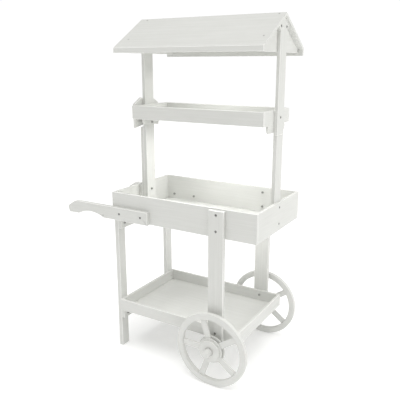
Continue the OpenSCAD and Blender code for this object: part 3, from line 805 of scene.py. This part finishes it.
def tray() -> Joinery:
    """The open tray: four boards and a floor.

    Returns:
        The sub-assembly.
    """
    box = "painted_box_board"
    return Joinery(
        "tray",
        [
            Board("tray_front_board", Along.LENGTH, box),
            Board("tray_back_board", Along.LENGTH, box),
            Board("tray_left_board", Along.DEPTH, box),
            Board("tray_right_board", Along.DEPTH, box),
            Board("tray_floor", Along.LENGTH, "painted_plywood", 0.0005, PANEL_PAINT),
        ],
    )


def handles() -> Joinery:
    """The two push handles, with rounder edges for the hands.

    Returns:
        The sub-assembly.
    """
    return Joinery(
        "handles",
        [
            Board("front_handle", Along.LENGTH, "painted_handle", 0.0024, TIMBER_PAINT),
            Board("back_handle", Along.LENGTH, "painted_handle", 0.0024, TIMBER_PAINT),
        ],
    )


def legs() -> Joinery:
    """The two left legs with their rails and the two wheel legs.

    Returns:
        The sub-assembly.
    """
    timber = "painted_frame_timber"
    upright = ("left_front_leg", "left_back_leg", "front_wheel_leg", "back_wheel_leg")
    return Joinery(
        "legs",
        [Board(node, Along.HEIGHT, timber, 0.0018, TIMBER_PAINT) for node in upright]
        + [Board(node, Along.DEPTH, timber, 0.0015, TIMBER_PAINT) for node in ("upper_rail", "lower_rail")],
    )


def shelf() -> Joinery:
    """The lower shelf: four boards and a floor.

    Returns:
        The sub-assembly.
    """
    box = "painted_box_board"
    return Joinery(
        "shelf",
        [
            Board("shelf_front_board", Along.LENGTH, box),
            Board("shelf_back_board", Along.LENGTH, box),
            Board("shelf_left_board", Along.DEPTH, box),
            Board("shelf_right_board", Along.DEPTH, box),
            Board("shelf_floor", Along.LENGTH, "painted_plywood", 0.0005, PANEL_PAINT),
        ],
    )


def posts() -> Joinery:
    """The two posts with their doubler and packing.

    Returns:
        The sub-assembly.
    """
    nodes = ("left_post", "left_post_doubler", "left_post_packing", "right_post_lower", "right_post_upper")
    return Joinery(
        "posts", [Board(node, Along.HEIGHT, "painted_frame_timber", 0.0013, TIMBER_PAINT) for node in nodes]
    )


def rack() -> Joinery:
    """The rack between the posts, with its crest plate and brackets.

    Returns:
        The sub-assembly.
    """
    slot = "painted_rack_board"
    return Joinery(
        "rack",
        [
            Board("rack_front_board", Along.LENGTH, slot),
            Board("rack_back_board", Along.LENGTH, slot),
            Board("rack_left_end", Along.DEPTH, slot),
            Board("rack_right_end", Along.DEPTH, slot),
            Board("rack_crest_plate", Along.DEPTH, slot, 0.0018),
            Board("rack_bracket", Along.DEPTH, slot, 0.0007),
            Board("rack_floor", Along.LENGTH, "painted_plywood", 0.0005, PANEL_PAINT),
        ],
    )


def roof() -> Joinery:
    """The gable roof: two panels, two fascia strips and two gables.

    Returns:
        The sub-assembly.
    """
    return Joinery(
        "roof",
        [
            Board("roof_front_panel", Along.LENGTH, "painted_roof_panel", 0.001, PANEL_PAINT),
            Board("roof_back_panel", Along.LENGTH, "painted_roof_panel", 0.001, PANEL_PAINT),
            Board("roof_front_fascia", Along.LENGTH, "painted_roof_trim", 0.0012),
            Board("roof_back_fascia", Along.LENGTH, "painted_roof_trim", 0.0012),
            Board("left_gable", Along.DEPTH, "painted_roof_trim", 0.0012),
            Board("right_gable", Along.DEPTH, "painted_roof_trim", 0.0012),
        ],
    )


@dataclass
class Wheel:
    """One spoked wheel with its rim, spokes and three hub discs, in metres and degrees.

    A disc is its radius and its two faces along the axle. At each of the seams the rim's section is drawn
    in by the share seam_depth, which falls to nothing over seam_reach.
    """

    body: str
    side: Side
    centre: Vector = field(default_factory=lambda: Vector(AXLE_MIDDLE))
    rim_outer: float = 0.183
    rim_inner: float = 0.152
    rim_faces: Tuple[float, float] = (0.286, 0.308)
    rim_ease: float = 0.0034
    rim_steps: int = 192
    seams: Tuple[float, ...] = (5.0, 77.0, 142.0, 214.0, 286.0)
    seam_cuts: Tuple[float, ...] = (-0.35, -0.15, 0.0, 0.15, 0.35)
    seam_depth: float = 0.055
    seam_reach: float = 0.3
    back_disc: Tuple[float, float, float] = (0.068, 0.286, 0.292)
    front_disc: Tuple[float, float, float] = (0.061, 0.302, 0.308)
    outer_disc: Tuple[float, float, float] = (0.052, 0.308, 0.320)
    disc_ease: float = 0.0016
    disc_steps: int = 128
    recess: Tuple[float, float] = (0.021, 0.003)
    bore: float = 0.01008
    spoke_faces: Tuple[float, float] = (0.292, 0.302)
    spoke_width: float = 0.030
    spoke_start: float = 0.030
    spoke_turn: float = 34.5
    spoke_count: int = 5
    spoke_steps: int = 8
    spoke_ease: float = 0.0022
    spoke_gap: float = 0.0001

    @property
    def label(self) -> str:
        """The wheel's name in the frame nodes."""
        return "front" if self.side is Side.FRONT else "rear"

    def place(self, made: bpy.types.Object, node: str, slot: str, turned: bool) -> bpy.types.Object:
        """Dresses a piece of the wheel and puts it on the wheel's body.

        Args:
            made: The piece.
            node: The frame node that it stands for.
            slot: Its material slot; not used.
            turned: True if it shows a cutter's rings.

        Returns:
            The piece.
        """
        centre = self.centre if turned else None
        made.data.materials.append(WHEEL_PAINT.material(Along.LENGTH, centre=centre))
        # A piece with eased edges also gets the edge material, which has a painted highlight and rubbed wear
        if made.modifiers:
            made.data.materials.append(WHEEL_PAINT.material(Along.LENGTH, edge=True))
        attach(made, self.body)
        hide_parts(node)
        LOG.info("piece %s rides on %s", made.name, self.body)
        return made

    def rim(self) -> bpy.types.Object:
        """The rim, glued up from curved pieces.

        Its section is a rectangle with rounded corners, drawn in by p = depth * (1 - d / reach) at the
        distance d from a glue joint, where that is more than nothing.

        Returns:
            The piece.
        """
        near, far = self.rim_faces
        inner, outer = self.rim_inner, self.rim_outer
        loop = rounded_loop([(inner, near), (outer, near), (outer, far), (inner, far)], self.rim_ease)
        turn = 2 * math.pi
        seams = np.radians(np.asarray(self.seams))
        around = np.radians(np.asarray(self.seam_cuts))
        close = (seams[:, None] + around[None]).ravel()
        angles = np.unique(np.concatenate([full_turn(self.rim_steps), close]) % turn)
        distance = np.abs((angles[:, None] - seams[None] + math.pi) % turn - math.pi).min(1)
        pinch = self.seam_depth * np.clip(1.0 - distance / math.radians(self.seam_reach), 0.0, 1.0)
        surface = ring_surface(loop, self.centre, self.side, angles, pinch)
        made = piece_from(f"{self.label}_rim_glued", [surface])
        return self.place(made, f"{self.label}_wheel_rim", "painted_wheel", False)

    def disc(self, name: str, sizes: Tuple[float, float, float], recess: bool) -> bpy.types.Object:
        """A hub disc, with a recess round the bore on the outer one.

        Args:
            name: The disc's name in the frame.
            sizes: Its radius and its two faces.
            recess: True for the outer disc.

        Returns:
            The piece.
        """
        radius, near, far = sizes
        corners = [(self.bore, near), (radius, near), (radius, far)]
        if recess:
            wide, deep = self.recess
            corners += [(wide, far), (wide, far - deep), (self.bore, far - deep)]
        else:
            corners.append((self.bore, far))
        loop = rounded_loop(corners, self.disc_ease)
        surface = ring_surface(loop, self.centre, self.side, full_turn(self.disc_steps))
        made = piece_from(f"{self.label}_{name}_turned", [surface])
        return self.place(made, f"{self.label}_{name}", "painted_hub", True)

    def spokes(self) -> bpy.types.Object:
        """The spokes: a rounded rectangle carried out along each spoke to the rim.

        A section point (t, s) at the share v lies at the distance a + v (b - a) from the axle along the
        spoke, t across it and s along the axle, where a is the hub end and b = sqrt(R^2 - t^2) meets the
        rim's inside. A last point at the middle of each end closes it.

        Returns:
            The piece.
        """
        low, high = self.spoke_faces
        half = self.spoke_width / 2
        loop = rounded_loop([(-half, low), (half, low), (half, high), (-half, high)], self.spoke_ease)
        across, along = loop[:, 0], loop[:, 1]
        steps, count = self.spoke_steps, len(loop)
        share = np.linspace(0.0, 1.0, steps + 1)[:, None]
        start = np.full_like(across, self.spoke_start)
        end = np.sqrt((self.rim_inner - self.spoke_gap) ** 2 - across**2)
        out = start + share * (end - start)
        i, j = np.meshgrid(np.arange(steps), np.arange(count), indexing="ij")
        beside = (j + 1) % count
        here, there = i * count, (i + 1) * count
        sides = np.stack([here + j, there + j, there + beside, here + beside], axis=-1)
        rings = [np.arange(count), steps * count + np.arange(count)]
        tips = [(steps + 1) * count, (steps + 1) * count + 1]
        caps = [
            np.stack([ring, np.roll(ring, -1), np.full(count, tip), np.full(count, tip)], axis=-1)
            for ring, tip in zip(rings, tips)
        ]
        faces = np.concatenate([sides.reshape(-1, 4), *caps])
        surfaces = []
        for turn in np.radians(self.spoke_turn + 360.0 / self.spoke_count * np.arange(self.spoke_count)):
            x = self.centre.x + out * np.cos(turn) - across * np.sin(turn)
            z = self.centre.z + out * np.sin(turn) + across * np.cos(turn)
            y = np.broadcast_to(self.side.value * along, out.shape)
            points = np.stack([x, y, z], axis=-1).reshape(-1, 3)
            centres = np.stack([points[ring].mean(0) for ring in rings])
            surfaces.append((np.concatenate([points, centres]), faces))
        made = piece_from(f"{self.label}_spokes_planed", surfaces)
        return self.place(made, f"{self.label}_wheel_spokes", "painted_wheel", False)

    def build(self) -> List[bpy.types.Object]:
        """Makes every piece of the wheel.

        Returns:
            The pieces.
        """
        LOG.info("building the %s wheel", self.label)
        return [
            self.rim(),
            self.spokes(),
            self.disc("hub_back_disc", self.back_disc, False),
            self.disc("hub_front_disc", self.front_disc, False),
            self.disc("hub_outer_disc", self.outer_disc, True),
        ]


@dataclass
class AxleSet:
    """The axle with its spacers and end caps."""

    centre: Vector = field(default_factory=lambda: Vector(AXLE_MIDDLE))
    spacer_radius: float = 0.022
    spacer_faces: Tuple[float, float] = (0.264, 0.2855)
    bore: float = 0.01005
    spacer_ease: float = 0.0018
    spacer_steps: int = 96
    cap_ease: float = 0.0014

    def spacers(self) -> bpy.types.Object:
        """The two spacers: a rounded rectangle carried round the axle at each end.

        Returns:
            The piece.
        """
        near, far = self.spacer_faces
        inner, outer = self.bore, self.spacer_radius
        corners_in = [(inner, near), (outer, near), (outer, far), (inner, far)]
        loop = rounded_loop(corners_in, self.spacer_ease)
        angles = full_turn(self.spacer_steps)
        surfaces = [ring_surface(loop, self.centre, side, angles) for side in Side]
        return piece_from("spacers_turned", surfaces)

    def build(self) -> List[bpy.types.Object]:
        """Makes the spacers and caps, and dresses the axle.

        Returns:
            The spacers and the caps.
        """
        spacers, caps = self.spacers(), eased_copy("axle_caps", self.cap_ease)
        for made, node in ((spacers, "axle_spacers"), (caps, "axle_caps")):
            made.data.materials.append(DOWEL_PAINT.material(Along.DEPTH, centre=self.centre))
            # A piece with eased edges also gets the edge material, which has a painted highlight and rubbed
            # wear
            if made.modifiers:
                made.data.materials.append(DOWEL_PAINT.material(Along.DEPTH, edge=True))
            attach(made, "cart")
            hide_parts(node)
            LOG.info("piece %s rides on cart", made.name)
        dress_node("axle", DOWEL_PAINT.material(Along.DEPTH))
        return [spacers, caps]


def dress_node(node: str, material: bpy.types.Material) -> None:
    """Gives a frame node that stays a better material.

    Args:
        node: The frame node.
        material: Its new material.
    """
    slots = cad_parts[node].data.materials
    slots.clear()
    slots.append(material)
    LOG.info("node %s wears %s", node, material.name)


@dataclass
class Fasteners:
    """Bolts, nuts, screws, pins and nails, which keep the frame's own shapes."""

    bolts: Steel = Steel("bolt_steel")
    nuts: Steel = Steel("nut_steel", tone=(0.52, 0.52, 0.50), worn=(0.7, 0.7, 0.68), metallic=0.6)
    screws: Steel = Steel("screw_steel", tone=(0.34, 0.34, 0.33), worn=(0.55, 0.55, 0.53))
    bolt_nodes: Tuple[str, ...] = (
        "handle_bolts",
        "wheel_leg_bolts",
        "rail_bolts",
        "left_post_bolts",
        "right_post_bolts",
        "rack_bolts",
        "roof_bolts",
    )

    def build(self) -> None:
        """Dresses every fastener."""
        for node in self.bolt_nodes:
            dress_node(node, self.bolts.material())
        dress_node("nuts", self.nuts.material())
        dress_node("wood_screws", self.screws.material())
        dress_node("nails", BOARD_PAINT.material(Along.DEPTH))
        dress_node("cap_pins", DOWEL_PAINT.material(Along.LENGTH))


# ---- Studio ----


@dataclass
class Studio:
    """The camera, the lights and the pale floor.

    A panel is its height, its length and its power.
    """

    eye: Tuple[float, float, float] = (1.42259, -2.1734, 1.47463)
    tilt: float = 75.25
    turn: float = 31.09
    lens: float = 46.56
    sensor: float = 36.0
    sky: float = 0.56
    sky_tone: Colour = (1.0, 1.0, 0.985)
    backdrop: float = 1.02
    light_tone: Colour = (1.0, 0.995, 0.985)
    light_size: float = 1.1
    key_watts: float = 16.0
    key_at: Tuple[float, float, float] = (2.6, 0.75, 1.95)
    key_aim: Tuple[float, float, float] = (0.1, 0.0, 1.15)
    fill: float = 1.5
    fill_angle: float = 50.0
    fill_from: Tuple[float, float, float] = (0.1, -0.15, 1.0)
    front_watts: float = 3.0
    front_at: Tuple[float, float, float] = (0.3, -1.6, 2.7)
    front_aim: Tuple[float, float, float] = (0.15, 0.0, 1.5)
    panels: Tuple[Tuple[float, float, float], ...] = (
        (1.45, 0.46, 0.9),
        (1.16, 0.4, 1.9),
        (0.66, 0.6, 0.85),
    )
    panel_x: float = 0.19
    panel_depth: float = 0.28
    floor_tone: Colour = (0.95, 0.95, 0.95)
    floor_glow: float = 0.18
    floor_half: float = 12.0
    floor_cells: int = 8

    def camera(self) -> None:
        """Places the camera and makes it the scene's own."""
        data = bpy.data.cameras.new("studio_camera")
        data.lens, data.sensor_width = self.lens, self.sensor
        made = bpy.data.objects.new("studio_camera", data)
        made.location = self.eye
        made.rotation_euler = (math.radians(self.tilt), 0.0, math.radians(self.turn))
        bpy.context.scene.collection.objects.link(made)
        bpy.context.scene.camera = made

    def aimed(self, name: str, watts: float, at: Sequence[float], aim: Sequence[float]) -> None:
        """Places a large square light.

        Args:
            name: The light's name.
            watts: Its power.
            at: Where it hangs.
            aim: The point that it faces.
        """
        data = bpy.data.lights.new(name, "AREA")
        data.energy, data.size, data.color = watts, self.light_size, self.light_tone
        made = bpy.data.objects.new(name, data)
        made.location = at
        made.rotation_euler = (Vector(at) - Vector(aim)).to_track_quat("Z", "Y").to_euler()
        made.visible_camera = False
        bpy.context.scene.collection.objects.link(made)

    def lights(self) -> None:
        """Two soft lights, a wide fill, panels over the rack, tray and shelf, and a sky."""
        self.aimed("key", self.key_watts, self.key_at, self.key_aim)
        self.aimed("front", self.front_watts, self.front_at, self.front_aim)
        soft = bpy.data.lights.new("fill", "SUN")
        soft.energy, soft.angle = self.fill, math.radians(self.fill_angle)
        above = bpy.data.objects.new("fill", soft)
        above.rotation_euler = Vector(self.fill_from).to_track_quat("Z", "Y").to_euler()
        bpy.context.scene.collection.objects.link(above)
        for height, length, watts in self.panels:
            flat = bpy.data.lights.new("panel", "AREA")
            flat.shape, flat.energy = "RECTANGLE", watts
            flat.size, flat.size_y = length, self.panel_depth
            hung = bpy.data.objects.new("panel", flat)
            hung.location = (self.panel_x, 0.0, height)
            hung.visible_camera = False
            bpy.context.scene.collection.objects.link(hung)
        self.sky_and_backdrop()

    def sky_and_backdrop(self) -> None:
        """An even sky that lights the cart, and a brighter plain backdrop behind it."""
        world = bpy.data.worlds.new("white_sky")
        bpy.context.scene.world = world
        world.use_nodes = True
        tree = world.node_tree
        sky = tree.nodes["Background"]
        sky.inputs["Color"].default_value = (*self.sky_tone, 1.0)
        sky.inputs["Strength"].default_value = self.sky
        behind = add_node(tree, "Background")
        behind.inputs["Color"].default_value = (1.0, 1.0, 1.0, 1.0)
        behind.inputs["Strength"].default_value = self.backdrop
        both, path = add_node(tree, "MixShader"), add_node(tree, "LightPath")
        tree.links.new(path.outputs["Is Camera Ray"], both.inputs["Fac"])
        tree.links.new(sky.outputs["Background"], both.inputs[1])
        tree.links.new(behind.outputs["Background"], both.inputs[2])
        tree.links.new(both.outputs["Shader"], tree.nodes["World Output"].inputs["Surface"])

    def floor(self) -> None:
        """A plain pale floor: a flat grid of even squares."""
        cells = self.floor_cells
        row = cells + 1
        span = np.linspace(-self.floor_half, self.floor_half, row)
        x, y = np.meshgrid(span, span, indexing="ij")
        points = np.stack([x, y, np.zeros_like(x)], axis=-1).reshape(-1, 3)
        i, j = np.meshgrid(np.arange(cells), np.arange(cells), indexing="ij")
        first = i * row + j
        faces = np.stack([first, first + row, first + row + 1, first + 1], axis=-1).reshape(-1, 4)
        mesh = bpy.data.meshes.new("studio_floor")
        mesh.from_pydata(points.tolist(), [], faces.tolist())
        made = bpy.data.objects.new("studio_floor", mesh)
        bpy.context.scene.collection.objects.link(made)
        paint = bpy.data.materials.new("studio_floor")
        paint.use_nodes = True
        shader = paint.node_tree.nodes["Principled BSDF"]
        shader.inputs["Base Color"].default_value = (*self.floor_tone, 1.0)
        shader.inputs["Roughness"].default_value = 1.0
        shader.inputs["Specular IOR Level"].default_value = 0.0
        shader.inputs["Emission Color"].default_value = (1.0, 1.0, 1.0, 1.0)
        shader.inputs["Emission Strength"].default_value = self.floor_glow
        mesh.materials.append(paint)

    def build(self) -> None:
        """Sets up the whole studio."""
        self.camera()
        self.lights()
        self.floor()
        bpy.context.scene.view_settings.view_transform = "Standard"


def corners(box: Tuple[Sequence[float], Sequence[float]]) -> List[List[float]]:
    """A box's two corners as plain lists."""
    return [[float(value) for value in corner] for corner in box]


def main() -> None:
    """Builds every sub-assembly in order."""
    logging.basicConfig(level=logging.INFO, format="%(name)s: %(message)s")
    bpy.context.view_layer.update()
    for maker in (tray, handles, legs, shelf, posts, rack, roof):
        maker().build()
    Wheel("front_wheel", Side.FRONT).build()
    Wheel("rear_wheel", Side.BACK).build()
    AxleSet().build()
    Fasteners().build()
    Studio().build()


if __name__ == "__main__":
    main()
